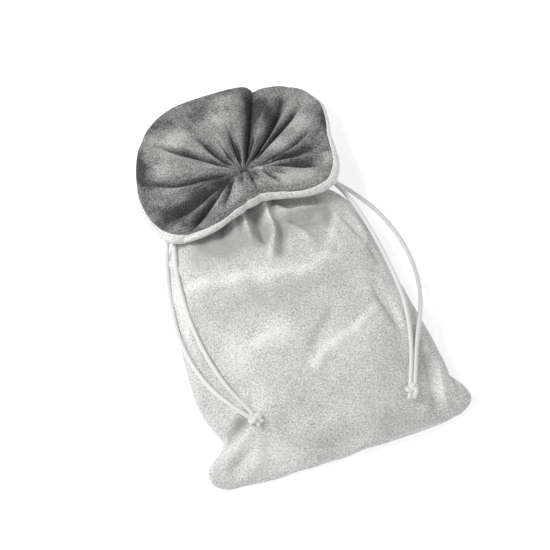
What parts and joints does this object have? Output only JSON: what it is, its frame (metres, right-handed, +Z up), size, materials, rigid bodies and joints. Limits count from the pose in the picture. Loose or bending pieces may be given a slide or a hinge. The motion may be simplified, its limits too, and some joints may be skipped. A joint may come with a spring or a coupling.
{
  "type": "drawstring gift pouch",
  "caption": "Lined velvet pouch lying on its back, ruffled mouth spread open above a gathered neck, with a knotted drawstring loop at each side.",
  "frame": {"origin": "on the surface the pouch lies on, under the middle of its fabric", "axes": "+Z up from the surface, -Y towards the hem, +Y towards the open mouth, +X to the right seen from the hem"},
  "size_m": [0.1528, 0.227, 0.0399],
  "materials": {
    "outer_velvet": "off-white crushed velvet",
    "lining_velvet": "silver-grey velvet",
    "sewing_thread": "polyester sewing thread",
    "satin_cord": "white satin cord"
  },
  "bodies": {
    "pouch": {"outer_front_panel": "outer_velvet", "outer_back_panel": "outer_velvet", "lining_front_panel": "lining_velvet", "lining_back_panel": "lining_velvet", "left_side_seam_stitching": "sewing_thread", "right_side_seam_stitching": "sewing_thread", "bottom_seam_stitching": "sewing_thread", "mouth_seam_stitching": "sewing_thread", "channel_lower_stitching": "sewing_thread", "channel_upper_stitching": "sewing_thread", "left_opening_bar_tacks": "sewing_thread", "right_opening_bar_tacks": "sewing_thread", "left_cord_channel_run": "satin_cord", "right_cord_channel_run": "satin_cord"},
    "left_cord_in_opening": {"left_cord_tunnel_run": "satin_cord"},
    "left_loop": {"left_cord_outer_strand": "satin_cord", "left_cord_inner_strand": "satin_cord", "left_cord_knot": "satin_cord", "left_cord_cut_ends": "satin_cord"},
    "right_cord_in_opening": {"right_cord_tunnel_run": "satin_cord"},
    "right_loop": {"right_cord_outer_strand": "satin_cord", "right_cord_inner_strand": "satin_cord", "right_cord_knot": "satin_cord", "right_cord_cut_ends": "satin_cord"}
  },
  "joints": [
    {"name": "left_cord_pull", "type": "slide", "parent": "pouch", "child": "left_cord_in_opening", "axis": [-1, 0, 0], "range_m": [0, 0.005]},
    {"name": "left_loop_swing", "type": "hinge", "parent": "left_cord_in_opening", "child": "left_loop", "pos_m": [-0.0178, 0.0553, 0.0197], "axis": [0, 0, -1], "range_deg": [0, 36]},
    {"name": "right_cord_pull", "type": "slide", "parent": "pouch", "child": "right_cord_in_opening", "axis": [1, 0, 0], "range_m": [0, 0.005]},
    {"name": "right_loop_swing", "type": "hinge", "parent": "right_cord_in_opening", "child": "right_loop", "pos_m": [0.0178, 0.0519, 0.0181], "axis": [0, 0, 1], "range_deg": [0, 36]}
  ]
}
